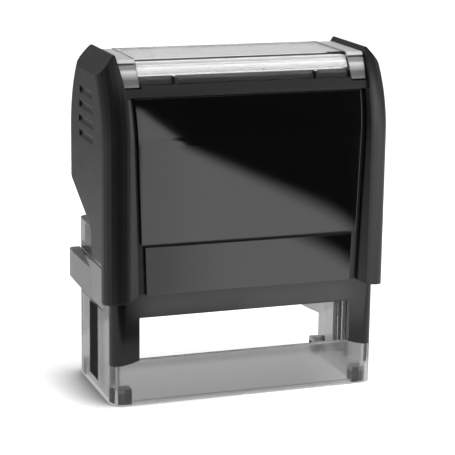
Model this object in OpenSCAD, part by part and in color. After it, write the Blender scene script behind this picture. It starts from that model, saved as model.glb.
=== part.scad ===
// Self inking stamp: a clear foot with a black frame, a sprung cap that slides over it,
// a printing plate that turns over as the cap goes down, and an ink cartridge that
// pulls out to the rear. Origin: centre of the foot's underside. X runs along the
// long side, +Y to the rear, +Z up.

/* [Foot and frame] */
// Radius of the foot's vertical corners
foot_corner_r = 3.6; // [2.6:0.1:4.4]
// Thickness of the side walls
side_wall_t = 2.2; // [1.8:0.1:2.6]
// Thickness of the front lip, the rear wall and the black frame
lip_t = 2; // [1.6:0.1:2.4]
// Height of the clear front lip
lip_h = 12.8; // [10:0.2:15]
// How much lower the frame's legs reach at the outside than at the window
leg_slant = 1.9; // [0.4:0.1:3]
// Width of a leg of the black frame, seen from the front
leg_w = 7.6; // [6:0.2:9]
// Height of the underside of the frame's cross bar
bar_z = 24.8; // [20:0.2:27]
// Height of the top of the frame and of the side walls
wall_top_z = 46; // [44:0.5:52]
// Height of the thin flange round the foot's opening
flange_h = 0.8; // [0.5:0.1:1]
// How far the flange stands in from the front and rear walls
flange_in = 0.8; // [0.4:0.1:1.2]
// Depth of the side walls' ribs that guide the pivot pins
track_h = 1.1; // [0.8:0.1:1.4]
// Height of the rear arch
arch_z = 17.5; // [16:0.5:22]
// Width of the black rail set in each side wall
rail_w = 8.6; // [6:0.2:10]
// Depth of the groove that holds the rail
rail_t = 1; // [0.6:0.1:1.2]
// How far the rail lies behind the middle of the side wall
rail_y = 1.5; // [-2:0.5:2]
// Length of a rubber foot's sides
rubber_l = 3.6; // [2.8:0.1:4]
// Height of a rubber foot
rubber_h = 4.4; // [2:0.2:6]

/* [Printing plate] */
// Travel of the cap
stroke = 17.5; // [15:0.5:19]
// Length of the text plate
text_w = 61.6; // [50:0.2:72]
// Depth of the text plate
text_d = 24.6; // [18:0.2:28]
// Height of the printing face over the pivot axis
face_h = 5.2; // [5:0.1:5.8]
// Thickness of the text plate's sheet, without its relief
text_t = 0.5; // [0.4:0.1:0.7]
// Height of the relief on the text plate
relief_h = 0.4; // [0.2:0.1:0.6]
// Thickness of the foam layer
foam_t = 0.8; // [0.5:0.1:1]
// Thickness of the plate that carries the foam
die_plate_t = 0.8; // [0.6:0.1:1]
// Thickness of the turning carrier's floor
carrier_t = 1.5; // [1.2:0.1:1.6]
// How far the turning carrier reaches past the text plate, front and rear
carrier_rim = 1.7; // [0.8:0.1:2.4]
// Diameter of the pivot pins
pin_d = 4; // [3:0.2:4.4]
// Wall left round a pivot pin
pin_wall = 1.2; // [0.8:0.1:1.6]
// Radial running clearance of the pivot pins
pin_fit = 0.05; // [0.02:0.01:0.1]
// Thickness of the arms that carry the pivot pins
arm_t = 1.7; // [1.2:0.1:1.8]

/* [Ink cartridge] */
// Thickness of the ink pad
pad_t = 3.6; // [2.4:0.2:3.8]
// Thickness of the tray over the pad
tray_roof_t = 1.6; // [1:0.1:2]
// How far the pad reaches past the text plate
pad_over = 0.4; // [0.2:0.1:0.8]
// Width of the tray's rim at its ends
tray_rim = 1.4; // [1:0.1:1.8]
// Width of the tray's rim at the front and rear
tray_lip = 1.6; // [1.2:0.1:2]
// Room between the tray and the foot's front wall
tray_room = 1.7; // [1:0.1:2.4]
// How far the side grips stand out from the side walls
grip_out = 3.5; // [2:0.25:4]
// Distance from the middle of the foot to the rear end of the grips
grip_rear_y = 15.2; // [14:0.2:16]
// How much higher the grips reach than the tray
grip_rise = 1.2; // [0:0.2:1.4]
// Length of the link that joins a grip to the tray
link_l = 9.6; // [7:0.2:10]

/* [Cap] */
// Thickness of the cap's side walls
cap_wall = 1.7; // [1.4:0.1:2]
// Gap between the side walls of the foot and the cap
cap_side_gap = 0.6; // [0.4:0.1:0.9]
// Gap between the frame and the inside of the cap's front
cap_front_gap = 0.3; // [0.25:0.05:0.5]
// Thickness of the cap's skin behind the panels
skin_t = 0.9; // [0.8:0.1:1.2]
// Thickness of the glossy panels
panel_t = 0.9; // [0.6:0.1:1.2]
// How far the cap's pillars stand out in front of the panels
pillar_out = 1; // [0.6:0.1:1.6]
// Height of the cap over the floor
cap_top_z = 95.6; // [94:0.2:102]
// Radius of the curve that leads from the cap's front, or rear, back to its top
cap_arc_r = 33.6; // [30:0.4:37]
// Height of that curve
curve_h = 23.6; // [20:0.4:26]
// Radius of the cap's vertical corners
cap_corner_r = 5.5; // [4:0.25:6]
// Width of the shoulder bevel
shoulder_w = 4.4; // [3:0.2:5]
// Height of the shoulder bevel
shoulder_h = 5.4; // [4:0.2:6]
// Width of the ridge between a shoulder and the window
ridge_w = 0.5; // [0.3:0.1:1]
// Height of the cap's front lower edge
cap_front_z = 31.6; // [30.5:0.2:34]
// How much lower the pillars reach than the front edge
pillar_drop = 2.6; // [1:0.2:4]
// Height of the lower edge of the cap's sides
cap_side_z = 40; // [38:0.5:42]
// Height of the lower edge of the cap's rear wall
cap_rear_z = 58; // [56:0.5:60]
// Width of a front pillar at its foot
pillar_low_w = 9; // [7.6:0.2:11]
// Width of a front pillar at the upper edge of the front panel
pillar_top_w = 7.2; // [6.4:0.2:8]
// Width of the flat face of a front pillar, outside the bevel along its inner edge
pillar_face_w = 6.3; // [5:0.1:7]
// Slant of that bevel in degrees
pillar_bevel_a = 14; // [8:1:20]
// Height of the joint between the front panel and the band under it
band_top_z = 45; // [42:0.5:50]
// Drop from the cap's top to the front panel's upper edge
panel_drop = 11; // [10:0.2:14]
// Distance from the rear wall's lower edge up to the rear panel
rear_panel_up = 10.6; // [9:0.2:14]
// Gap between a panel and the sides of its recess
panel_gap = 1.2; // [0.5:0.1:1.6]
// Gap between the band and the sides of the recess
band_gap = 2.2; // [1:0.1:2.6]
// Number of grip grooves on each side
groove_n = 4; // [2:1:5]
// Length of the longest grip groove
groove_l = 14.8; // [10:0.2:18]
// Distance between the grip grooves
groove_pitch = 4.05; // [3:0.05:4.5]
// Height of a grip groove
groove_h = 2; // [1:0.1:2.4]
// Depth of a grip groove
groove_t = 0.5; // [0.3:0.1:0.9]
// Drop from the cap's top to the middle of the first grip groove
groove_drop = 11.4; // [11:0.2:14]

/* [Index window] */
// Thickness of the clear window
window_t = 1.2; // [0.8:0.1:1.4]
// Gap between the window and the card under it
window_gap = 0.4; // [0.3:0.05:0.6]
// Thickness of the index card
card_t = 0.4; // [0.2:0.1:0.5]
// How far the window lies under the level of the panels
window_sink = 0.2; // [0.1:0.05:0.4]
// Drop from the cap's top to the window's lower edges
window_drop = 5.7; // [4.6:0.1:6.6]
// Height of the groove under the window
window_groove_h = 2; // [1:0.1:2.4]
// Depth of the groove under the window
window_groove_t = 1.6; // [0.8:0.1:2]
// Width of the tabs at the window's ends
tab_w = 5.5; // [3:0.5:7]
// How much lower the tabs reach than the window
tab_drop = 2.5; // [1:0.1:3]
// Width of the slits between the window's top and its front and rear
slit_w = 0.4; // [0.2:0.1:0.8]

/* [Spring and lock] */
// Wire diameter of the return spring
wire_d = 1.2; // [0.8:0.1:1.4]
// Mean radius of the return spring
spring_r = 5.9; // [5.5:0.1:7]
// Number of turns of the return spring
spring_turns = 9; // [7:1:11]
// Diameter of the posts inside the spring
post_d = 9.2; // [7:0.2:9.4]
// Length of the post that hangs into the spring from above
guide_l = 18; // [12:0.5:24]
// Length of the post that stands in the spring from below
seat_l = 5; // [3:0.5:8]
// Depth of the yoke's bridge over the spring
bridge_d = 14; // [12:0.5:20]
// Length of the posts between the bridge and the cap's ceiling
bridge_post_l = 4.4; // [3:0.2:8]
// Width of the lock button
button_w = 11; // [8:0.5:14]
// Height of the lock button
button_h = 4.6; // [4:0.2:5]
// Depth of the finger dish round the lock button
dish_t = 0.8; // [0.4:0.1:1.2]
// Distance from the rear wall's lower edge up to the middle of the lock button
button_up = 5.2; // [4.8:0.1:7]

/* [Hidden] */
$fn = 64;
eps = 0.01;
far = 200;                      // longer than any cut needs
fit = 0.3;                      // gap between pieces that slide past each other

// From the text plate out to the foot's walls
pocket_gap = 0.2;               // round the pad in the tray
pad_w = text_w + 2 * pad_over;
pad_d = text_d + 2 * pad_over;
tray_x = pad_w / 2 + tray_rim;
tray_y = pad_d / 2 + tray_lip;
arm_in_x = tray_x + 0.5;
arm_out_x = arm_in_x + arm_t;
track_in_x = arm_out_x + 0.4;
inner_x = track_in_x + track_h;
inner_y = tray_y + tray_room;

// Foot
foot_x = inner_x + side_wall_t;
foot_y = inner_y + lip_t;
leg_in_x = foot_x - leg_w;
frame_rear_y = foot_corner_r - foot_y;      // where the black frame meets the clear wall
gusset_x = 11;                  // reach of the arch's corner gussets
gusset_low = 6.6;               // how far they come down at the wall
gusset_bow = 0.57;              // share of that drop left halfway along, under a half for a hollow

// Turning plate. The pivot axis falls by the stroke while the plate turns half a turn.
floor_gap = 0.1;                // printing face over the paper when pressed
axis_z = stroke + face_h + floor_gap;
rise_rate = stroke / PI;
text_y = text_d / 2;
swing_r = norm([text_y, face_h]);
swing_a = acos(rise_rate / swing_r) - atan2(face_h, text_y);
swing_rise = face_h * cos(swing_a) + text_y * sin(swing_a) - rise_rate * swing_a * PI / 180;
die_z = axis_z + face_h - relief_h - text_t - foam_t - die_plate_t;
carrier_d = text_d + 2 * carrier_rim;
pin_boss_r = pin_d / 2 + pin_wall;
pin_boss_l = 5.5;

// Ink cartridge
pad_z = axis_z + swing_rise + fit;          // face of the ink pad
tray_top_z = pad_z + pad_t + tray_roof_t;
grip_low_z = bar_z + fit;
grip_front_y = -8;
grip_start_y = 3.5;             // where the grip begins to stand out
grip_full_y = 11;               // where it stands out in full
grip_skin = 0.9;                // thickness of the grip where it lies flush
notch_top_z = tray_top_z + 0.4;

// Tracks of the pivot pins
track_gap = pin_d / 2 + fit;
track_w = 1.6;
track_top_z = pad_z - 0.8;

// Cap
cap_in_x = foot_x + cap_side_gap;
cap_x = cap_in_x + cap_wall;
cap_in_y = foot_y + cap_front_gap;
cap_y = cap_in_y + skin_t + panel_t + pillar_out;
curve_y = cap_arc_r - cap_y;                // the front curve's centre lies this far behind the middle
curve_z = cap_top_z - curve_h;
pillar_rear_y = cap_corner_r + 0.4 - cap_y; // rear face of the front pillars
recess_low = cap_x - pillar_low_w;          // half widths of the front recess
recess_top = cap_x - pillar_top_w;
panel_low_z = band_top_z + 0.6;
panel_top_z = cap_top_z - panel_drop;
ledge_low_z = panel_top_z + fit;            // ledge between the front panel and the window

// Layers of the cap, as depths under its side outline
wall_in = cap_y - cap_in_y;
recess_in = wall_in - skin_t;
window_in = pillar_out + window_sink;
card_in = window_in + window_t + window_gap;
saddle_in = card_in + card_t;               // the seat of the index card
ceiling_in = saddle_in + 1.5;
ceiling_z = cap_top_z - ceiling_in;

// Index window
window_low_z = cap_top_z - window_drop;
groove_low_z = window_low_z - window_groove_h;
bed_low = cap_x - pillar_face_w;            // half widths of the window's bed
bed_top = cap_x - shoulder_w - ridge_w;
tab_x = bed_top - tab_w;
tab_low_z = window_low_z - tab_drop;
lug_x = 2 * tab_x / 3;                      // lugs in the groove under the window

// The curved lower edge of the cap's sides, from the front up to the rear wall
cut_front_y = -5.2;
cut_r = 7;
cut_slope = 26;                 // degrees, of the straight stretch behind the curve
cut_a = 90 - cut_slope;
cut_knee = [cut_front_y + cut_r * (1 - cos(cut_a)), cap_side_z + 3 + cut_r * sin(cut_a)];
function cut_z(y) = min(cap_rear_z, cut_knee[1] + (y - cut_knee[0]) * tan(cut_slope));
cut_edge = concat([[cut_front_y, cap_side_z]],
    [for (a = [0:8:cut_a]) [cut_front_y + cut_r * (1 - cos(a)), cap_side_z + 3 + cut_r * sin(a)]],
    [cut_knee, [cut_knee[0] + (cap_rear_z - cut_knee[1]) / tan(cut_slope), cap_rear_z]]);

// Spring
roof_z = notch_top_z + 0.3;                 // underside of the pad housing's roof
roof_t = 2;
flange_t = 1.2;
spring_low_z = roof_z + roof_t + flange_t;
bridge_t = 2;
bridge_z = ceiling_z - bridge_post_l - bridge_t;    // underside of the yoke's bridge
spring_top_z = bridge_z - flange_t;
flange_d = 2 * spring_r + wire_d + 2;       // flanges that the spring bears on
button_z = cap_rear_z + button_up;

// ---- shared shapes ----

// A rectangle with round corners, centred
module rounded_rect(w, d, r) {
    square([w - 2 * r, d], center = true);
    square([w, d - 2 * r], center = true);
    for (x = [-1, 1], y = [-1, 1])
        translate([x * (w / 2 - r), y * (d / 2 - r)])
            circle(r);
}

// Extrudes a 2D shape drawn as (Y, Z) along X, from -half to half
module along_x(half) {
    translate([-half, 0, 0])
        rotate([90, 0, 90])
            linear_extrude(2 * half)
                children();
}

// Extrudes a 2D shape drawn as (X, Z) along Y, from y0 to y1
module along_y(y0, y1) {
    translate([0, y1, 0])
        rotate([90, 0, 0])
            linear_extrude(y1 - y0)
                children();
}

// A box from one corner to the other
module block(low, high) {
    translate(low)
        cube(high - low);
}

// The same shape on the left and on the right
module both_sides() {
    children();
    mirror([1, 0, 0])
        children();
}

// ---- foot and frame ----

// The closed wall round the foot, seen from above
module foot_ring() {
    difference() {
        rounded_rect(2 * foot_x, 2 * foot_y, foot_corner_r);
        rounded_rect(2 * inner_x, 2 * inner_y, foot_corner_r - lip_t);
    }
}

// Front view of the black frame: two legs with slanted ends and a cross bar
module frame_front() {
    polygon([[-foot_x - 1, lip_h - leg_slant], [-leg_in_x - 2, lip_h - 0.7], [-leg_in_x, lip_h],
        [-leg_in_x, bar_z], [leg_in_x, bar_z],
        [leg_in_x, lip_h], [leg_in_x + 2, lip_h - 0.7], [foot_x + 1, lip_h - leg_slant],
        [foot_x + 1, wall_top_z], [-foot_x - 1, wall_top_z]]);
}

// Everything in front of the clear side walls and above the clear front lip
module frame_space() {
    along_y(-far, frame_rear_y)
        union() {
            frame_front();
            translate([-foot_x - 1, bar_z - 5])
                square([2 * foot_x + 2, far]);
            translate([-leg_in_x, lip_h])
                square([2 * leg_in_x, far]);
        }
}

// Rear view of what is open in the rear wall: the arch and the mouth of the cartridge bay
module rear_open() {
    polygon([[-inner_x, flange_h], [inner_x, flange_h],
        [inner_x, arch_z - gusset_low], [inner_x - gusset_x / 2, arch_z - gusset_low * gusset_bow],
        [inner_x - gusset_x, arch_z], [gusset_x - inner_x, arch_z],
        [gusset_x / 2 - inner_x, arch_z - gusset_low * gusset_bow], [-inner_x, arch_z - gusset_low]]);
    translate([-inner_x, track_top_z])
        square([2 * inner_x, far]);
}

module rubber_feet() {
    for (x = [-1, 1], y = [-1, 1])
        translate([x * (inner_x - rubber_l / 2), y * (inner_y - rubber_l / 2), 0])
            linear_extrude(rubber_h)
                square(rubber_l, center = true);
}

// Vertical ribs that keep the pivot pins in line, and the lugs at the rear corners
module foot_ribs() {
    lug_r = 1.4;
    lug_h = 3;
    lug_t = 1.2;
    both_sides() {
        for (y = [-1, 1])
            block([track_in_x, y > 0 ? track_gap : -track_gap - track_w, flange_h - eps],
                [inner_x + eps, y > 0 ? track_gap + track_w : -track_gap, track_top_z]);
        translate([inner_x - lug_t, inner_y - rubber_l, flange_h - eps])
            rotate([90, 0, 90])
                linear_extrude(lug_t + eps)
                    union() {
                        translate([-lug_r, 0])
                            square([2 * lug_r, lug_h]);
                        translate([0, lug_h])
                            circle(lug_r);
                    }
    }
}

// Small pointers at the foot's lower edge that show the middle and the ends of the print
module pointer_cuts() {
    for (x = [-1, 0, 1])
        translate([x * (text_w / 2 - 6), 0, 0])
            along_y(-foot_y - 1, 0.35 - foot_y)
                polygon([[-1.1, -eps], [1.1, -eps], [0, x == 0 ? 2.4 : 1.4]]);
}

module rail_profile(gap) {
    polygon([[rail_y - rail_w / 2 - gap, 3 - gap], [rail_y + rail_w / 2 + gap, 3 - gap],
        [rail_y + rail_w / 2 + gap, bar_z - 0.6], [rail_y - rail_w / 2 - gap, bar_z]]);
}

module clear_foot() {
    color("slategray", 0.6)
        difference() {
            union() {
                difference() {
                    linear_extrude(wall_top_z)
                        foot_ring();
                    frame_space();
                    along_y(0, far)
                        rear_open();
                }
                linear_extrude(flange_h)
                    difference() {
                        rounded_rect(2 * foot_x - 1, 2 * foot_y - 1, foot_corner_r - 0.5);
                        square([2 * (arm_in_x + 0.3), 2 * (inner_y - flange_in)], center = true);
                    }
                foot_ribs();
            }
            // notch in each side wall for the cartridge's grip, open to the rear
            both_sides()
                block([inner_x - 1, grip_front_y - fit, bar_z], [foot_x + 1, far, notch_top_z]);
            both_sides()
                translate([foot_x - rail_t, 0, 0])
                    rotate([90, 0, 90])
                        linear_extrude(rail_t + 1)
                            rail_profile(0);
            rubber_feet();
            pointer_cuts();
        }
}

module front_frame() {
    color("#202122")
        intersection() {
            linear_extrude(wall_top_z)
                foot_ring();
            along_y(-far, frame_rear_y)
                frame_front();
        }
}

module side_rails() {
    color("#121212")
        both_sides()
            translate([foot_x - rail_t, 0, 0])
                rotate([90, 0, 90])
                    linear_extrude(rail_t - 0.1)
                        rail_profile(0);
}

module corner_feet() {
    color("#1a1a1c")
        intersection() {
            rubber_feet();
            linear_extrude(rubber_h)
                rounded_rect(2 * inner_x, 2 * inner_y, foot_corner_r - lip_t);
        }
}

// ---- ink cartridge and its housing ----

// Openings in the housing for the two arms
module arm_slots() {
    both_sides()
        block([arm_in_x - 0.4, -pin_boss_r - 0.5, roof_z - 1],
            [arm_out_x + 0.4, pin_boss_r + 0.5, wall_top_z + 5]);
}

module pad_housing() {
    skirt_t = 1.2;
    skirt_in = 4;               // the skirts stop short of the corners
    rib_t = 1.2;
    rib_h = 3;
    rib_pitch = 11;
    catch_z = button_z - stroke;
    color("#2a2b2d")
        difference() {
            union() {
                block([-inner_x, -inner_y, roof_z], [inner_x, inner_y, roof_z + roof_t]);
                block([skirt_in - inner_x, inner_y - skirt_t, roof_z],
                    [inner_x - skirt_in, inner_y, wall_top_z + 1.5]);
                block([skirt_in - inner_x, -inner_y, roof_z],
                    [inner_x - skirt_in, skirt_t - inner_y, wall_top_z - 1]);
                both_sides()
                    block([inner_x - skirt_t, skirt_in - inner_y, roof_z],
                        [inner_x, inner_y - skirt_in, wall_top_z - 1]);
                for (i = [-2, -1, 1, 2])
                    translate([i * rib_pitch, 0, 0])
                        block([-rib_t / 2, -inner_y, roof_z + roof_t - eps],
                            [rib_t / 2, inner_y, roof_z + roof_t + rib_h]);
            }
            arm_slots();
            // the catch that the lock button's nose enters when the cap is down
            block([-button_w / 4 - 0.6, inner_y - skirt_t - 1, catch_z - 1.6],
                [button_w / 4 + 0.6, inner_y + 1, catch_z + 1.6]);
        }
}

module spring_seat() {
    color("#d8d8d4")
        translate([0, 0, roof_z + roof_t]) {
            cylinder(d = flange_d, h = flange_t);
            cylinder(d = post_d, h = flange_t + seat_l);
        }
}

// Plan of a side grip on the right: flush at the front, standing out at the rear
module grip_plan() {
    polygon([[foot_x - grip_skin, grip_front_y], [foot_x, grip_front_y], [foot_x, grip_start_y],
        [foot_x + grip_out, grip_full_y], [foot_x + grip_out, grip_rear_y - 1],
        [foot_x + grip_out - 1, grip_rear_y], [foot_x - grip_skin, grip_rear_y]]);
}

module grip() {
    hold_y = grip_rear_y + 2;
    lead_y = grip_start_y - 3;
    press_z = stroke + 0.4;     // the cap's edge comes down to this gap over the grip
    difference() {
        translate([0, 0, grip_low_z])
            linear_extrude(tray_top_z + grip_rise - grip_low_z)
                grip_plan();
        // inside the side wall's notch the grip is as low as the tray
        block([0, -far, tray_top_z], [foot_x + fit, far, far]);
        // underside bevelled towards the wall
        along_y(-far, far)
            polygon([[foot_x, grip_low_z - 1], [foot_x, grip_low_z],
                [foot_x + grip_out + 1, grip_low_z + grip_out * 1.6], [foot_x + grip_out + 1, grip_low_z - 1]]);
        // top follows the edge of the pressed cap
        translate([foot_x + fit, 0, 0])
            rotate([90, 0, 90])
                linear_extrude(far)
                    polygon([[-far, far], [-far, cut_z(lead_y) - press_z], [lead_y, cut_z(lead_y) - press_z],
                        [hold_y, cut_z(hold_y) - press_z], [hold_y, far]]);
    }
}

module ink_tray() {
    channel_w = 16;
    channel_t = 0.6;
    channel_pitch = 20;
    color("#8b8c8e")
        difference() {
            union() {
                block([-tray_x, -tray_y, pad_z], [tray_x, tray_y, tray_top_z]);
                both_sides() {
                    block([tray_x - eps, grip_rear_y - link_l, pad_z + 0.5],
                        [foot_x - grip_skin + eps, grip_rear_y, tray_top_z]);
                    grip();
                }
            }
            block([-pad_w / 2 - pocket_gap, -pad_d / 2 - pocket_gap, pad_z - 1],
                [pad_w / 2 + pocket_gap, pad_d / 2 + pocket_gap, pad_z + pad_t]);
            // shallow lightening channels on the tray's roof
            for (i = [-1:1])
                translate([i * channel_pitch, 0, 0])
                    block([-channel_w / 2, tray_lip - tray_y, tray_top_z - channel_t],
                        [channel_w / 2, tray_y - tray_lip, tray_top_z + 1]);
        }
}

module ink_pad() {
    color("#1c1c46")
        block([-pad_w / 2, -pad_d / 2, pad_z], [pad_w / 2, pad_d / 2, pad_z + pad_t]);
}

// ---- cap ----

// Half of the cap's side outline as points (depth, height), drawn in by d
function curve_points(d) =
    let (r = cap_arc_r - d, top_a = asin((curve_h - d) / r), steps = 16)
    [for (i = [0:steps]) [r * cos(top_a * i / steps) - curve_y, curve_z + r * sin(top_a * i / steps)]];

// Side outline of the cap as points, drawn in by d
function cap_outline(d) =
    let (curve = curve_points(d), last = len(curve) - 1)
    concat([[d - cap_y, 0]], [for (p = curve) [-p[0], p[1]]],
        [for (i = [last:-1:0]) curve[i]], [[cap_y - d, 0]]);

// The same outline with true arcs, for the insides and for what lies on the cap
module side_arch(d, low) {
    translate([d - cap_y, low])
        square([2 * (cap_y - d), curve_z - low]);
    intersection() {
        translate([curve_y, curve_z])
            circle(cap_arc_r - d);
        translate([-curve_y, curve_z])
            circle(cap_arc_r - d);
        translate([-cap_y, curve_z - 1])
            square([2 * cap_y, curve_h - d + 1]);
    }
}

// What lies outside the side outline drawn in by d
module sunk(d) {
    difference() {
        children();
        along_x(far)
            side_arch(d, -far);
    }
}

// The whole outside of the cap, with its corners rounded over sides and top
module cap_body() {
    intersection() {
        hull()
            for (a = [0:15:90])
                along_x(cap_x - cap_corner_r * (1 - sin(a)))
                    polygon(cap_outline(cap_corner_r * (1 - cos(a))));
        along_y(-far, far)
            polygon([[-cap_x, 0], [cap_x, 0], [cap_x, cap_top_z - shoulder_h],
                [cap_x - shoulder_w, cap_top_z], [shoulder_w - cap_x, cap_top_z],
                [-cap_x, cap_top_z - shoulder_h]]);
    }
}

module cap_cavity() {
    intersection() {
        union() {
            along_x(cap_in_x)
                side_arch(ceiling_in, -1);
            along_x(cap_in_x)
                intersection() {
                    side_arch(wall_in, -1);
                    translate([-cap_y, -1])
                        square([2 * cap_y, panel_top_z + 1]);
                }
        }
        linear_extrude(far)
            rounded_rect(2 * cap_in_x, 2 * cap_in_y, 3);
        along_y(-far, far)
            polygon([[-cap_in_x, -1], [cap_in_x, -1], [cap_in_x, cap_top_z - shoulder_h - 1],
                [cap_in_x - shoulder_w, ceiling_z], [shoulder_w - cap_in_x, ceiling_z],
                [-cap_in_x, cap_top_z - shoulder_h - 1]]);
    }
}

// Front view of the recess between the pillars, wider at the top
module recess_front(low, high, grow) {
    slope = (recess_top - recess_low) / (panel_top_z - cap_front_z);
    half_low = recess_low + slope * (low - cap_front_z) + grow;
    half_high = recess_low + slope * (high - cap_front_z) + grow;
    polygon([[-half_low, low], [half_low, low], [half_high, high], [-half_high, high]]);
}

// Half width of the window's bed, which goes on from the pillars' faces out to the ridges
function bed_half(z) =
    bed_low + (bed_top - bed_low) * (z - panel_top_z) / (cap_top_z - panel_top_z);

// Front view of the bed from one height to the other
module bed_front(low, high, grow) {
    polygon([[-bed_half(low) - grow, low], [bed_half(low) + grow, low],
        [bed_half(high) + grow, high], [-bed_half(high) - grow, high]]);
}

// A layer across the whole cap from one height to the other
module layer(low, high) {
    block([-far, -far, low], [far, far, high]);
}

// Everything cut away under the cap's lower edges
module cap_under() {
    // sides and rear
    along_x(far)
        polygon(concat([[pillar_rear_y, -5], [pillar_rear_y, cap_side_z]], cut_edge,
            [[far, cap_rear_z], [far, -5]]));
    // front edge and the pillars' slanted ends
    along_y(-far, pillar_rear_y + eps)
        polygon([[-far, -5], [far, -5], [far, cap_front_z - pillar_drop],
            [cap_x, cap_front_z - pillar_drop], [recess_low + 3, cap_front_z - 1.6],
            [recess_low - 0.4, cap_front_z], [0.4 - recess_low, cap_front_z],
            [-recess_low - 3, cap_front_z - 1.6], [-cap_x, cap_front_z - pillar_drop],
            [-far, cap_front_z - pillar_drop]]);
}

// Shallow scoops across the cap's side that give the fingers a hold
module grip_grooves() {
    scoop_r = (pow(groove_h / 2, 2) + pow(groove_t, 2)) / (2 * groove_t);
    for (i = [0:groove_n - 1])
        translate([cap_x + scoop_r - groove_t, 0, cap_top_z - groove_drop - i * groove_pitch])
            rotate([90, 0, 0])
                cylinder(r = scoop_r, h = groove_l - abs(i - 2) * groove_h / 2, center = true);
}

// The slanted strip along the inner edge of each pillar, at the front and the rear
module pillar_bevels() {
    bevel_x = cap_x - pillar_face_w;
    step = 0.2;                 // the strip starts with a fine step, clear of the pivot line
    for (turn = [0, 180])
        rotate([0, 0, turn])
            both_sides()
                difference() {
                    along_y(-far, 0)
                        translate([recess_low - 1, 0])
                            square([bevel_x - step - recess_low + 1, ledge_low_z]);
                    translate([bevel_x, -cap_y, 0])
                        rotate([0, 0, -pillar_bevel_a])
                            translate([0, cap_y, 0])
                                along_x(far)
                                    side_arch(0, -far);
                }
}

// Ledge, groove and bed for the window, and notches for its tabs, at the front and the rear
module window_cuts() {
    intersection() {
        along_y(-far, far)
            bed_front(ledge_low_z - eps, cap_top_z + 1, 0);
        union() {
            sunk(pillar_out)
                layer(0, window_low_z + 1);
            sunk(pillar_out + window_groove_t)
                difference() {
                    layer(groove_low_z, window_low_z + 1);
                    both_sides()
                        block([lug_x - 0.4, -far, 0], [lug_x + 0.4, far, window_low_z]);
                }
            sunk(saddle_in) {
                layer(window_low_z, cap_top_z + 2);
                both_sides()
                    block([tab_x - fit, -far, tab_low_z - fit], [far, far, window_low_z + 1]);
            }
        }
    }
}

module cap_shell() {
    dish_side = 3.5;            // how far the finger dish reaches past the lock button
    dish_over = 1.3;
    color("#2b2c2d")
        difference() {
            cap_body();
            cap_cavity();
            cap_under();
            // recess for the front panel and band
            sunk(recess_in)
                along_y(-far, 0)
                    recess_front(cap_front_z - 5, ledge_low_z, 0);
            // recess for the rear panel
            sunk(recess_in)
                along_y(0, far)
                    recess_front(cap_rear_z + rear_panel_up - fit, ledge_low_z, 0);
            pillar_bevels();
            window_cuts();
            both_sides()
                grip_grooves();
            // hole for the lock button
            along_y(0, far)
                translate([0, button_z])
                    square([button_w + 2 * fit, button_h + 2 * fit], center = true);
            along_y(cap_y - dish_t, far)
                translate([0, button_z])
                    square([button_w + 2 * dish_side, button_h + 2 * dish_over], center = true);
        }
}

// A sheet that follows the cap's side outline, between the depths outer and inner under it
module over_top(half, outer, inner) {
    difference() {
        along_x(half)
            side_arch(outer, 0);
        along_x(half + 1)
            side_arch(inner, -1);
    }
}

module front_panel() {
    color("#17181a")
        intersection() {
            over_top(cap_x, pillar_out, recess_in);
            along_y(-far, 0)
                recess_front(panel_low_z, panel_top_z, -panel_gap);
        }
}

module front_band() {
    color("#4a4a4c")
        intersection() {
            over_top(cap_x, pillar_out, recess_in);
            along_y(-far, 0)
                recess_front(cap_front_z, band_top_z - 0.2, -band_gap);
        }
}

module rear_panel() {
    color("#17181a")
        intersection() {
            over_top(cap_x, pillar_out, recess_in);
            along_y(0, far)
                recess_front(cap_rear_z + rear_panel_up, panel_top_z, -panel_gap);
        }
}

// What lies over the window's lower edges, less the slits where the top meets front and rear
module window_space() {
    curve = curve_points(window_in);
    slit_y = curve[len(curve) - 1][0];
    difference() {
        along_y(-far, far)
            translate([-cap_x, window_low_z + window_sink])
                square([2 * cap_x, far]);
        for (s = [-1, 1])
            block([-cap_x, s * slit_y - slit_w / 2, 0], [cap_x, s * slit_y + slit_w / 2, far]);
    }
}

module index_card() {
    color("#eceef0")
        intersection() {
            over_top(tab_x, card_in, saddle_in);
            window_space();
        }
}

module index_window() {
    color("#c9ced2", 0.5)
        intersection() {
            over_top(tab_x, window_in, window_in + window_t);
            window_space();
        }
}

// End tabs that clip over the ledge, each with a slot across its front and its rear
module window_tabs() {
    tab_in = window_in + window_sink;
    slot_h = 0.5;
    slot_t = 0.7;
    slot_z = window_low_z + 2.9;
    color("#b9bcbf")
        both_sides()
            difference() {
                intersection() {
                    over_top(bed_top, tab_in, card_in - 0.1);
                    along_y(-far, far)
                        polygon([[tab_x, tab_low_z], [bed_half(tab_low_z) - fit, tab_low_z],
                            [bed_half(cap_top_z) - fit, cap_top_z], [tab_x, cap_top_z]]);
                }
                difference() {
                    along_y(-far, far)
                        translate([0, slot_z])
                            square([bed_top, slot_h]);
                    along_x(far)
                        side_arch(tab_in + slot_t, 0);
                }
            }
}

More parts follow.
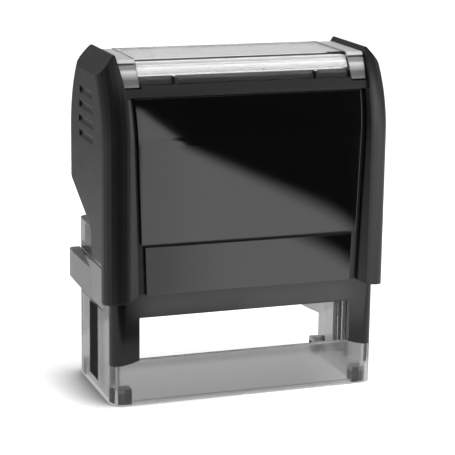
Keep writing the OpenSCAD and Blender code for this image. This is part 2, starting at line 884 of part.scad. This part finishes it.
// Bridge under the cap's ceiling with the two arms that carry the pivot pins
module yoke() {
    web = 10;                   // reach of the gussets between the bridge and the arms
    post_in = 7;                // the outer posts stand this far in from the arms
    color("#303133")
        difference() {
            union() {
                block([-arm_out_x, -bridge_d / 2, bridge_z], [arm_out_x, bridge_d / 2, bridge_z + bridge_t]);
                both_sides() {
                    block([arm_in_x, -pin_boss_r, axis_z], [arm_out_x, pin_boss_r, bridge_z + eps]);
                    translate([arm_in_x, 0, axis_z])
                        rotate([0, 90, 0])
                            cylinder(r = pin_boss_r, h = arm_t);
                    // gusset under the bridge
                    along_y(-1, 1)
                        polygon([[arm_in_x - web, bridge_z + eps], [arm_in_x + eps, bridge_z + eps],
                            [arm_in_x + eps, bridge_z - web]]);
                    // posts up to the cap's ceiling
                    for (x = [arm_in_x / 3, arm_in_x - post_in])
                        translate([x, 0, bridge_z + bridge_t - eps])
                            cylinder(d = 6, h = bridge_post_l + eps);
                }
            }
            both_sides()
                translate([arm_in_x - 1, 0, axis_z])
                    rotate([0, 90, 0])
                        cylinder(r = pin_d / 2 + pin_fit, h = arm_t + 2);
        }
}

module spring_guide() {
    color("#d8d8d4")
        translate([0, 0, spring_top_z - guide_l]) {
            cylinder(d = post_d, h = guide_l + flange_t);
            translate([0, 0, guide_l])
                cylinder(d = flange_d, h = flange_t);
        }
}

// ---- spring ----

wire_sides = 8;
turn_steps = 22;
spring_steps = spring_turns * turn_steps;
spring_rise = spring_top_z - spring_low_z - wire_d - 0.04;
// Height of the wire's middle after i steps: the end turns lie nearly flat
function ease(t) = t < 0.1 ? t * 0.3 : t > 0.9 ? 1 - (1 - t) * 0.3 : 0.03 + (t - 0.1) * 0.94 / 0.8;
function wire_z(i) = spring_low_z + wire_d / 2 + 0.02 + spring_rise * ease(i / spring_steps);
function wire_point(i, k) =
    let (a = 360 * i / turn_steps, b = 360 * k / wire_sides, r = spring_r + wire_d / 2 * cos(b))
    [r * cos(a), r * sin(a), wire_z(i) + wire_d / 2 * sin(b)];

module return_spring() {
    points = [for (i = [0:spring_steps], k = [0:wire_sides - 1]) wire_point(i, k)];
    last = spring_steps * wire_sides;
    color("#c4c7ca")
        polyhedron(points, concat(
            [[for (k = [0:wire_sides - 1]) k]],
            [for (i = [0:spring_steps - 1], k = [0:wire_sides - 1])
                let (n = (k + 1) % wire_sides, p = i * wire_sides, q = p + wire_sides)
                [p + k, q + k, q + n, p + n]],
            [[for (k = [wire_sides - 1:-1:0]) last + k]]));
}

module lock_button() {
    color("#3a3b3d")
        difference() {
            union() {
                along_y(cap_in_y - 0.2, cap_y - eps)
                    translate([0, button_z])
                        square([button_w, button_h], center = true);
                // flange inside the cap keeps the button in
                along_y(cap_in_y - 0.9, cap_in_y - 0.1)
                    translate([0, button_z])
                        square([button_w + 2.4, button_h + 1.2], center = true);
                // nose that enters the housing's catch when the cap is down
                along_y(inner_y + fit, cap_in_y)
                    translate([0, button_z])
                        square([button_w / 2, 2.2], center = true);
            }
            for (z = [-1.2, 0, 1.2])
                translate([0, cap_y, button_z + z])
                    rotate([45, 0, 0])
                        cube([button_w - 2.4, 0.5, 0.5], center = true);
        }
}

// ---- turning plate ----

module die_carrier() {
    floor_z = die_z - carrier_t;
    rib_pitch = 10;
    rib_l = 18;
    rib_t = 1.2;
    color("#2f3032")
        difference() {
            union() {
                block([-tray_x, -carrier_d / 2, floor_z], [tray_x, carrier_d / 2, die_z]);
                both_sides() {
                    translate([tray_x - pin_boss_l, 0, axis_z])
                        rotate([0, 90, 0])
                            cylinder(r = pin_boss_r, h = pin_boss_l);
                    for (i = [1, 2])
                        translate([i * rib_pitch, 0, 0])
                            block([-rib_t / 2, -rib_l / 2, floor_z - 1], [rib_t / 2, rib_l / 2, floor_z + eps]);
                }
                block([eps - tray_x, -rib_t, axis_z - 1.4], [tray_x - eps, rib_t, floor_z + eps]);
            }
            // the plate lies on top, so the bosses end at the carrier's floor
            block([-tray_x - 1, -far, die_z], [tray_x + 1, far, far]);
            both_sides()
                translate([tray_x - pin_boss_l - 1, 0, axis_z])
                    rotate([0, 90, 0])
                        cylinder(d = pin_d, h = pin_boss_l + 2);
        }
}

module pivot_pins() {
    color("#a9adb1")
        both_sides()
            translate([tray_x - pin_boss_l, 0, axis_z])
                rotate([0, 90, 0])
                    cylinder(d = pin_d, h = inner_x - fit - tray_x + pin_boss_l);
}

module die_plate() {
    color("#dfe3e6")
        block([-text_w / 2 - pocket_gap, -text_d / 2 - pocket_gap, die_z],
            [text_w / 2 + pocket_gap, text_d / 2 + pocket_gap, die_z + die_plate_t]);
}

module foam_layer() {
    color("#9fa3a0")
        block([-text_w / 2, -text_d / 2, die_z + die_plate_t],
            [text_w / 2, text_d / 2, die_z + die_plate_t + foam_t]);
}

// Rubber sheet with a raised border and plain raised bars in place of lines of type
module text_plate() {
    low = die_z + die_plate_t + foam_t;
    top = low + text_t + relief_h;
    color("#8c2f2a")
        union() {
            block([-text_w / 2, -text_d / 2, low], [text_w / 2, text_d / 2, low + text_t]);
            difference() {
                block([1 - text_w / 2, 1 - text_d / 2, low], [text_w / 2 - 1, text_d / 2 - 1, top]);
                block([2 - text_w / 2, 2 - text_d / 2, low - 1], [text_w / 2 - 2, text_d / 2 - 2, top + 1]);
            }
            for (row = [0:3])
                for (x = [-1, 1])
                    block([x > 0 ? 1 : -text_w / 2 + 5 + row, row * text_d / 5 - text_d * 0.36, low],
                        [x > 0 ? text_w / 2 - 5 - row * 2 : -1, row * text_d / 5 - text_d * 0.36 + 2, top]);
        }
}

clear_foot();
front_frame();
side_rails();
corner_feet();
pad_housing();
spring_seat();
ink_tray();
ink_pad();
cap_shell();
front_panel();
front_band();
rear_panel();
index_card();
index_window();
window_tabs();
yoke();
spring_guide();
return_spring();
lock_button();
die_carrier();
pivot_pins();
die_plate();
foam_layer();
text_plate();
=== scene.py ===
# A self inking desk stamp, put together in the order of the bench: the clear foot and its black
# frame, the pad housing, the ink cartridge, the turning plate, the spring, and the cap over all.
# Every length is in metres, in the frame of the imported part, +Z up and +Y to the rear.
import functools
import math

import bmesh
import bpy
from mathutils import Matrix, Vector


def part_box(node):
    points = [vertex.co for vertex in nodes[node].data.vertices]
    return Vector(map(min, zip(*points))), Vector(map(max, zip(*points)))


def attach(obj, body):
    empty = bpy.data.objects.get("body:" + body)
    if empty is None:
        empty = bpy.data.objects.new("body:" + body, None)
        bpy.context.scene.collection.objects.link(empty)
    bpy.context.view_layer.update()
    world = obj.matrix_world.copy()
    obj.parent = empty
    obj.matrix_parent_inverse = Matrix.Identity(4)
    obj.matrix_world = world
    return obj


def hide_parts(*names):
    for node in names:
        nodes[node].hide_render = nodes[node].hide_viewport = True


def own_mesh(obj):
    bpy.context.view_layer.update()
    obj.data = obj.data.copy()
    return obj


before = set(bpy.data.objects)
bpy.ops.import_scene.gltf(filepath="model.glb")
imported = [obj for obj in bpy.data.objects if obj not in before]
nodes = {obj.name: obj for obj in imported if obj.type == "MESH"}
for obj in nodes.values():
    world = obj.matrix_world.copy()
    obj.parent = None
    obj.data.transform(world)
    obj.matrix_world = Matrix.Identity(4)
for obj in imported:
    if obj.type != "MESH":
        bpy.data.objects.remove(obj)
bpy.context.scene.view_settings.view_transform = "Standard"
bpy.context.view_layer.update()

# ---- Desk and studio ----
# The stamp stands on a pale desk that runs on into a white studio. To the eye and through clear
# plastic the desk is white, with a soft painted shadow at the stamp. Gloss sees it as grey.

MM = 0.001


class Value:
    """One output socket of a finish, which can be added and multiplied like a number."""

    def __init__(self, finish, socket):
        self.finish = finish
        self.socket = socket

    def maths(self, operation, *values):
        return self.finish.node("ShaderNodeMath", {"operation": operation},
                                dict(enumerate(values)))

    def __add__(self, other):
        return self.maths("ADD", self, other)

    def __sub__(self, other):
        return self.maths("SUBTRACT", self, other)

    def __rsub__(self, other):
        return self.maths("SUBTRACT", other, self)

    def __mul__(self, other):
        return self.maths("MULTIPLY", self, other)

    def __truediv__(self, other):
        return self.maths("DIVIDE", self, other)

    def __rtruediv__(self, other):
        return self.maths("DIVIDE", other, self)

    def __pow__(self, power):
        return self.maths("POWER", self, power)

    __radd__ = __add__
    __rmul__ = __mul__

    def least(self, other):
        return self.maths("MINIMUM", self, other)

    def most(self, other):
        return self.maths("MAXIMUM", self, other)

    def over(self, edge, width):
        """0 below the edge, 1 above it, with a soft step of the given width between."""
        return self.finish.node("ShaderNodeMapRange", {"interpolation_type": "SMOOTHSTEP"},
                                {"Value": self, "From Min": edge - width / 2,
                                 "From Max": edge + width / 2})


class Finish:
    """A material, or the world, written as nodes that are made one at a time."""

    def __init__(self, name, owner=None, coordinates="Object"):
        self.material = owner or bpy.data.materials.new(name)
        self.material.use_nodes = True
        self.tree = self.material.node_tree
        self.tree.nodes.clear()
        self.place = self.node("ShaderNodeTexCoord", {}, {}, coordinates)

    def node(self, kind, settings, inputs, output=0):
        """Makes a node, sets it, joins or fills its inputs, and returns one of its outputs."""
        node = self.tree.nodes.new(kind)
        for key, value in settings.items():
            if key == "stops":
                ramp = node.color_ramp.elements
                while len(ramp) < len(value):
                    ramp.new(0.5)
                for stop, (place, tone) in zip(ramp, value):
                    stop.position = place
                    stop.color = (tone, tone, tone, 1)
            else:
                setattr(node, key, value)
        for key, value in inputs.items():
            if isinstance(value, Value):
                self.tree.links.new(value.socket, node.inputs[key])
            else:
                node.inputs[key].default_value = value
        return Value(self, node.outputs[output]) if node.outputs else None

    def rays(self, *kinds):
        """1 for rays of these kinds, such as Camera and Glossy, and 0 for all others."""
        path = self.tree.nodes.new("ShaderNodeLightPath")
        shares = [Value(self, path.outputs[f"Is {kind} Ray"]) for kind in kinds]
        return functools.reduce(Value.most, shares)

    def noise(self, scale, detail=2.0, rough=0.5):
        """A cloudy pattern between 0 and 1, with this many grains to a metre."""
        return self.node("ShaderNodeTexNoise", {}, {"Vector": self.place, "Scale": scale,
                         "Detail": detail, "Roughness": rough}, "Fac")

    def axis(self, letter):
        """The place along X, Y or Z."""
        return self.node("ShaderNodeSeparateXYZ", {}, {"Vector": self.place}, letter)

    def between(self, share, first, second):
        """A colour that runs from the first to the second with the share."""
        return self.node("ShaderNodeMix", {"data_type": "RGBA"},
                         {0: share, 6: first, 7: second}, 2)

    def graded(self, letter, low, high, stops):
        """A grey that follows stops of (place, level) between two places on an axis."""
        share = (self.axis(letter) - low) / (high - low)
        placed = [((place - low) / (high - low), level) for place, level in stops]
        return self.node("ShaderNodeValToRGB", {"stops": placed}, {0: share})

    def relief(self, height, depth, radius=0.0):
        """A normal from a height field, over edges that are rounded to a radius."""
        inputs = {"Height": height, "Distance": depth, "Strength": 1.0}
        if radius:
            inputs["Normal"] = self.node("ShaderNodeBevel", {"samples": 6}, {"Radius": radius})
        return self.node("ShaderNodeBump", {}, inputs)

    def surface(self, shader):
        """Puts the shader on the material, which is then done."""
        self.node("ShaderNodeOutputMaterial", {}, {"Surface": shader})
        return self.material

    def principled(self, **sockets):
        """The common shader, with its sockets named by words joined with underscores."""
        named = {key.replace("_", " "): value for key, value in sockets.items()}
        return self.node("ShaderNodeBsdfPrincipled", {}, named)


def grey(level, tint=0.0):
    """A grey of this level, which a tint above 0 turns a little to blue."""
    return (level * (1 - tint), level, level * (1 + tint), 1.0)


def put_on(name, material):
    """Gives a CAD node its finish."""
    mesh = nodes[name].data
    mesh.materials.clear()
    mesh.materials.append(material)


def piece_from(name, mesh, material):
    """Makes a new piece of the scene from a mesh, with its finish."""
    piece = bpy.data.objects.new(name, mesh)
    bpy.context.scene.collection.objects.link(piece)
    mesh.materials.clear()
    mesh.materials.append(material)
    return piece


desk_half = 1.6
desk = Finish("desk_white")
desk_lit = desk.node("ShaderNodeBsdfDiffuse", {}, {"Color": grey(0.8)})
desk_glow = desk.node("ShaderNodeEmission", {}, {"Color": grey(1.0), "Strength": 0.3})
desk_plain = desk.node("ShaderNodeAddShader", {}, {0: desk_lit, 1: desk_glow})
# close to the stamp and under it the white darkens in a painted shadow, made from occlusion and a
# mask by place, most on the left, away from the larger lamp
foot_low, foot_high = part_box("clear_foot")
near, wide = (1 - desk.node("ShaderNodeAmbientOcclusion", {"samples": 12},
                            {"Distance": reach}, "AO") for reach in (14 * MM, 50 * MM))
lamp_side = desk.axis("X").over(0.0, 80 * MM)
in_front = (1 - desk.axis("Y").over(foot_low.y, 6 * MM)) * desk.axis("X").over(foot_low.x, 8 * MM)
painted_shadow = (1.4 * near + 0.25 * wide) * (1 - 0.75 * lamp_side) * (1 - 0.8 * in_front)
white_share = (1 - painted_shadow).most(0.0)
white_lit = desk.node("ShaderNodeBsdfDiffuse", {}, {"Color": desk.between(
    white_share, grey(0.0), grey(0.5))})
white_glow = desk.node("ShaderNodeEmission", {}, {"Color": grey(1.0),
                                                  "Strength": 0.79 * white_share})
desk_white = desk.node("ShaderNodeAddShader", {}, {0: white_lit, 1: white_glow})
desk_level = 0.68 - 0.35 * desk.axis("Y").over(0.25, 0.3)
desk_gloss = desk.node("ShaderNodeEmission", {}, {"Color": grey(1.0), "Strength": desk_level})
desk_seen = desk.node("ShaderNodeMixShader", {}, {0: desk.rays("Camera", "Transmission"),
                                                  1: desk_plain, 2: desk_white})
desk.surface(desk.node("ShaderNodeMixShader", {}, {0: desk.rays("Glossy"),
                                                   1: desk_seen, 2: desk_gloss}))


def flat_card(name, low, high, height, material):
    """A level rectangle between two corners, which is part of the studio."""
    mesh = bpy.data.meshes.new(name)
    mesh.from_pydata([(low[0], low[1], height), (high[0], low[1], height),
                      (high[0], high[1], height), (low[0], high[1], height)],
                     [], [(0, 1, 2, 3)])
    card = piece_from(name, mesh, material)
    return card


flat_card("desk", (-desk_half, -desk_half), (desk_half, desk_half), 0, desk.material)

# The studio is white to the eye and through clear plastic. In gloss it is grey behind the
# stamp and black before it, with light overhead, a light strip on the right, and a slim one on
# the left that carries the reflection board's edge up round the panel's curve.
world = bpy.data.worlds.new("studio")
bpy.context.scene.world = world
studio = Finish("studio", world, "Generated")
aside, ahead, height = (studio.axis(letter) for letter in "XYZ")
behind = 0.3 - 0.2 * height.over(0.45, 0.5)
slim_strip = aside.over(0.2805, 0.003) * (1 - aside.over(0.3005 - 0.041 * height, 0.006))
slim_strip = slim_strip * (1 - height.over(0.45, 0.1))
right_strip = aside.over(0.407, 0.006) * (1 - height.over(0.6, 0.1))
overhead = 1.0 * height.over(0.71, 0.2) + 2.0 * height.over(0.95, 0.1)
before = 0.004 + 1.2 * slim_strip + 2.2 * right_strip + overhead
facing = 1 - ahead.over(-0.35, 0.3)
gloss_level = before * facing + behind * (1 - facing)
fill_level = 0.42
in_gloss = studio.rays("Glossy")
unseen_level = in_gloss * gloss_level + (1 - in_gloss) * fill_level
seen = studio.rays("Camera", "Transmission")
studio_level = unseen_level + seen * (1.0 - unseen_level)
studio_light = studio.node("ShaderNodeBackground", {}, {"Color": grey(1.0),
                                                        "Strength": studio_level})
studio.node("ShaderNodeOutputWorld", {}, {"Surface": studio_light})


stamp_middle = Vector((0, 0, 50 * MM))


def lamp(name, place, size, watts):
    """A square soft box that points at the stamp's middle, and doesn't show in its gloss."""
    light = bpy.data.lights.new(name, "AREA")
    light.shape = "SQUARE"
    light.size = size
    light.energy = watts
    holder = bpy.data.objects.new(name, light)
    bpy.context.scene.collection.objects.link(holder)
    holder.location = place
    holder.rotation_euler = (stamp_middle - Vector(place)).to_track_quat("-Z", "Y").to_euler()
    holder.visible_glossy = False


lamp("top_box", (0.25, -0.25, 0.7), 0.45, 6.5)
lamp("left_box", (-0.6, 0.2, 0.4), 0.4, 2.2)

# ---- Camera ----
# A long lens from the left of the front and a little above, as for a catalogue picture. It is
# aimed near the stamp's middle and leans by less than a degree.

camera = bpy.data.objects.new("camera", bpy.data.cameras.new("camera"))
bpy.context.scene.collection.objects.link(camera)
aim = Vector((0.37, 0.0, 43.79)) * MM
camera_distance = 507.63 * MM
turn, rise, lean = math.radians(-19.594), math.radians(13.493), math.radians(0.776)
back = Vector((math.sin(turn) * math.cos(rise), -math.cos(turn) * math.cos(rise),
               math.sin(rise)))
camera.location = aim + back * camera_distance
look = (-back).to_track_quat("-Z", "Y").to_matrix() @ Matrix.Rotation(lean, 3, "Z")
camera.rotation_euler = look.to_euler()
camera.data.sensor_width = 36
camera.data.lens = 141.94
bpy.context.scene.camera = camera

# ---- Reflection board ----
# Black and white board laid on the desk in front, which only gloss sees. Its picture is a painted
# reflection: it paints the front panel's curved edge between black and grey, and the pillars'
# light and dark shades. The picture is drawn on the panel's plane, in millimetres, and thrown
# back to the desk as in a mirror.

panel_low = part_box("front_panel")[0]
mirror_y = panel_low.y
panel_half = 31.0
board = Finish("reflection_board")
board_top = 0.3 * MM
source = Vector((camera.location.x, 2 * mirror_y - camera.location.y, camera.location.z))
share = (mirror_y - source.y) / (board.axis("Y") - source.y)
across = (source.x + share * (board.axis("X") - source.x)) / MM
up = (source.z + share * (board_top - source.z)) / MM
band_line = (panel_low.z - 0.3 * MM) / MM
on_panel = up.over(band_line, 0.3)
band_shift = 11.0
lifted = up + (1 - on_panel) * band_shift
bend = (across / panel_half) ** 7
edge_z = 60.0 - 0.51 * across - 2.8 * bend
softness = 3.0 + 5.0 * (across / (2 * panel_half) + 0.5)
dark_part = ((lifted - edge_z) / softness).least(1.0).most(0.0)
dark_part = dark_part * dark_part * (3 - 2 * dark_part)
far = ((up - 72.0) / 40.0).least(1.0).most(0.0)
far_edge = -18.4 - 5.5 * far
dark_part = dark_part.least(across.over(far_edge, 2.5).most(1 - up.over(72.5, 1.0)))
painted_reflection = 1.25 - 1.24 * dark_part
painted_reflection = painted_reflection * (0.88 + 0.12 * across.over(-22.0, 14.0))
painted_reflection = painted_reflection * (on_panel + (1 - on_panel) * (0.72 + 0.28 * across.over(-14.0, 26.0)))
band_foot, legs_top = 31.0, 24.0
below = 1 - up.over(band_foot, 1.0)
left = 1 - across.over(-31.5 - 2.5 * far, 1.5)
right = across.over(32.5, 1.5)
under_band = 2.2 + 0.5 * across.over(10.0, 40.0)
at_legs = 1 - up.over(legs_top, 1.0)
under_band = under_band * (1 - at_legs) + 1.3 * across.over(0.0, 4.0) * at_legs
painted_reflection_level = painted_reflection * (1 - below) + under_band * below
painted_reflection_level = painted_reflection_level * (1 - right) + 1.5 * right
painted_reflection_level = painted_reflection_level * (1 - left) + 0.02 * left
board.surface(board.node("ShaderNodeEmission", {}, {"Color": grey(1.0),
                                                    "Strength": painted_reflection_level}))
board_card = flat_card("reflection_board", (-0.7, -desk_half), (desk_half, -0.075), board_top,
                       board.material)
for kind in ("camera", "diffuse", "transmission", "volume_scatter", "shadow"):
    setattr(board_card, "visible_" + kind, False)

# ---- Clear foot ----
# One moulding of smoky clear plastic: a ring wall with a low front lip, ribs that guide the
# pins, and a thin flange. The tool is polished, so its faces shine.

smoky = Finish("smoky_clear")
# The grey is darker at the bottom of the foot, and towards its right end it turns paler in a
# painted light patch.
grey_by_height = smoky.graded("Z", foot_low.z, foot_high.z, [
    (foot_low.z, 0.42), (foot_low.z + 12 * MM, 0.52), (foot_high.z, 0.48)])
painted_light_end = smoky.axis("X").over(foot_high.x - 12 * MM, 26 * MM)
smoky_skin = smoky.principled(
    Base_Color=smoky.between(0.4 * painted_light_end, grey_by_height, grey(0.85)),
    Roughness=0.17, IOR=1.49, Transmission_Weight=0.92,
    Normal=smoky.relief(smoky.noise(90), 0.01 * MM, 0.3 * MM))
put_on("clear_foot", smoky.surface(smoky_skin))

# ---- Black frame, rails and rubber feet ----
# The frame is moulded onto the clear wall in black, with satin faces. A black strip sits in
# each side wall, and soft rubber squares in the corners keep the foot from slipping.

satin = Finish("frame_black")
put_on("front_frame", satin.surface(satin.principled(
    Base_Color=grey(0.005, 0.01), Roughness=0.13 + 0.04 * satin.noise(160),
    Normal=satin.relief(satin.noise(3200), 0.003 * MM, 0.35 * MM))))

strip = Finish("rail_black")
put_on("side_rails", strip.surface(strip.principled(
    Base_Color=grey(0.004), Roughness=0.5 + 0.1 * strip.noise(300), Specular_IOR_Level=0.03,
    Normal=strip.relief(strip.noise(2600), 0.004 * MM, 0.2 * MM))))

rubber = Finish("rubber_black")
rubber_low, rubber_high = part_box("corner_feet")
# Above this line the black rubber is painted pale grey as a painted highlight.
painted_highlight_line = rubber_low.z + 0.72 * (rubber_high.z - rubber_low.z)
put_on("corner_feet", rubber.surface(rubber.principled(
    Base_Color=rubber.graded("Z", rubber_low.z, rubber_high.z, [
        (rubber_low.z, 0.008), (painted_highlight_line - 0.3 * MM, 0.012), (painted_highlight_line + 0.3 * MM, 0.5)]),
    Roughness=0.7, Specular_IOR_Level=0.25,
    Normal=rubber.relief(rubber.noise(1400), 0.03 * MM, 0.3 * MM))))

# ---- Pad housing and spring seat ----
# The housing is a dark tray roof with ribs, pressed into the top of the foot. The spring
# stands on a natural white seat in its middle.

housing = Finish("housing_dark")
housing_skin = housing.surface(housing.principled(
    Base_Color=grey(0.02, 0.02), Roughness=0.45 + 0.1 * housing.noise(260),
    Normal=housing.relief(housing.noise(1200), 0.015 * MM, 0.3 * MM)))
put_on("pad_housing", housing_skin)
put_on("yoke", housing_skin)

natural = Finish("seat_white")
natural_skin = natural.surface(natural.principled(
    Base_Color=grey(0.62), Roughness=0.45,
    Normal=natural.relief(natural.noise(700), 0.012 * MM, 0.3 * MM)))
put_on("spring_seat", natural_skin)
put_on("spring_guide", natural_skin)

# ---- Ink cartridge ----
# A grey tray with a fine matt grain, whose grips stand out at the sides, and the felt pad.

tray = Finish("cartridge_grey")
put_on("ink_tray", tray.surface(tray.principled(
    Base_Color=grey(0.24, 0.01), Roughness=0.55 + 0.1 * tray.noise(300),
    Normal=tray.relief(tray.noise(1500), 0.03 * MM, 0.4 * MM))))

felt = Finish("pad_felt")
put_on("ink_pad", felt.surface(felt.principled(
    Base_Color=(0.02, 0.02, 0.07, 1), Roughness=0.85,
    Normal=felt.relief(felt.noise(2600, 4.0), 0.12 * MM, 0.2 * MM))))

# ---- Turning plate ----
# A dark frame turns on two steel pins. It carries a white plate, the grey foam and the rubber
# with its raised bars, which the ink has stained.

dark = Finish("carrier_dark")
put_on("die_carrier", dark.surface(dark.principled(
    Base_Color=grey(0.04, 0.02), Roughness=0.45 + 0.1 * dark.noise(260),
    Normal=dark.relief(dark.noise(1100), 0.012 * MM, 0.25 * MM))))
steel = Finish("pin_steel")
put_on("pivot_pins", steel.surface(steel.principled(
    Base_Color=grey(0.5), Metallic=1.0, Roughness=0.25 + 0.1 * steel.noise(600))))
plate = Finish("plate_white")
put_on("die_plate", plate.surface(plate.principled(
    Base_Color=grey(0.7, 0.02), Roughness=0.3,
    Normal=plate.relief(plate.noise(500), 0.01 * MM, 0.2 * MM))))
foam = Finish("foam_grey")
put_on("foam_layer", foam.surface(foam.principled(
    Base_Color=grey(0.3), Roughness=0.9,
    Normal=foam.relief(foam.noise(3000, 3.0), 0.06 * MM))))
text = Finish("text_rubber")
put_on("text_plate", text.surface(text.principled(
    Base_Color=(0.24, 0.05, 0.04, 1), Roughness=0.6,
    Normal=text.relief(text.noise(900), 0.01 * MM, 0.08 * MM))))

# ---- Return spring ----
# One coil of bright steel wire stands between its seat and the cap.

wire = Finish("spring_steel")
wire_skin = wire.surface(wire.principled(
    Base_Color=grey(0.56), Metallic=1.0, Roughness=0.28 + 0.1 * wire.noise(500),
    Normal=wire.relief(wire.noise(200), 0.005 * MM, 0.3 * MM)))
put_on("return_spring", wire_skin)
solid_coil = nodes["return_spring"]
coil_mesh = solid_coil.data.copy()
coil_mesh.transform(solid_coil.matrix_world)
coil = bmesh.new()
coil.from_mesh(coil_mesh)
bmesh.ops.remove_doubles(coil, verts=coil.verts, dist=0.002 * MM)
for face in coil.faces:
    face.smooth = True
coil.to_mesh(coil_mesh)
coil.free()
spring_coil = piece_from("spring_coil", coil_mesh, wire_skin)
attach(spring_coil, "base")
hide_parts("return_spring")
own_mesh(spring_coil)

# ---- Cap ----
# The outer shell is black plastic with a fine matt grain. Glossy panels are set in its front
# and rear, and a band lies under the front one.

shell = Finish("cap_black")
put_on("cap_shell", shell.surface(shell.principled(
    Base_Color=grey(0.005, 0.01), Roughness=0.3 + 0.1 * shell.noise(260),
    Normal=shell.relief(shell.noise(3000), 0.006 * MM, 0.5 * MM))))

gloss = Finish("panel_gloss")
gloss_skin = gloss.surface(gloss.principled(
    Base_Color=grey(0.002), Roughness=0.03, IOR=1.5, Specular_IOR_Level=1.0,
    Normal=gloss.relief(gloss.noise(30), 0.001 * MM, 0.25 * MM)))
put_on("front_panel", gloss_skin)
put_on("rear_panel", gloss_skin)
put_on("front_band", gloss_skin)

button = Finish("button_dark")
put_on("lock_button", button.surface(button.principled(
    Base_Color=grey(0.05, 0.02), Roughness=0.45,
    Normal=button.relief(button.noise(900), 0.02 * MM, 0.25 * MM))))

# ---- Index card and window ----
# A white card lies over the cap's top under a clear polished window, which snaps in with a tab at
# each end. The card greys towards its lower edges in painted shade, and the tabs carry painted
# highlights and painted shade along their height.

card_low, card_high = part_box("index_card")
card = Finish("card_white")
# The card's grey towards its lower edges is painted shade.
put_on("index_card", card.surface(card.principled(
    Base_Color=card.graded("Z", card_low.z, card_high.z, [
        (card_low.z, 0.06), (card_low.z + 0.6 * MM, 0.16), (card_low.z + 1.2 * MM, 0.36),
        (card_low.z + 1.9 * MM, 0.6), (card_high.z - 0.3 * MM, 0.82), (card_high.z, 0.84)]),
    Roughness=0.5, Normal=card.relief(card.noise(1200), 0.002 * MM))))
pane = Finish("window_clear")
put_on("index_window", pane.surface(pane.principled(
    Base_Color=grey(0.97), Roughness=0.03 + 0.03 * pane.noise(150), IOR=1.49,
    Transmission_Weight=1.0)))
tab_low, tab_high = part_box("window_tabs")
# The tabs' dark lines and bright strips along their height are painted highlight and painted
# shade.
tab = Finish("tab_silver")
put_on("window_tabs", tab.surface(tab.principled(
    Base_Color=tab.graded("Z", tab_low.z, tab_high.z, [
        (tab_low.z, 0.16), (tab_low.z + 0.7 * MM, 0.08), (tab_low.z + 1.8 * MM, 0.07),
        (tab_high.z - 4.1 * MM, 0.2), (tab_high.z - 2.9 * MM, 0.42),
        (tab_high.z - 2.3 * MM, 0.14), (tab_high.z - 1.5 * MM, 0.14),
        (tab_high.z - 1.0 * MM, 0.4)]),
    Roughness=0.25, Normal=tab.relief(tab.noise(500), 0.004 * MM, 0.3 * MM))))
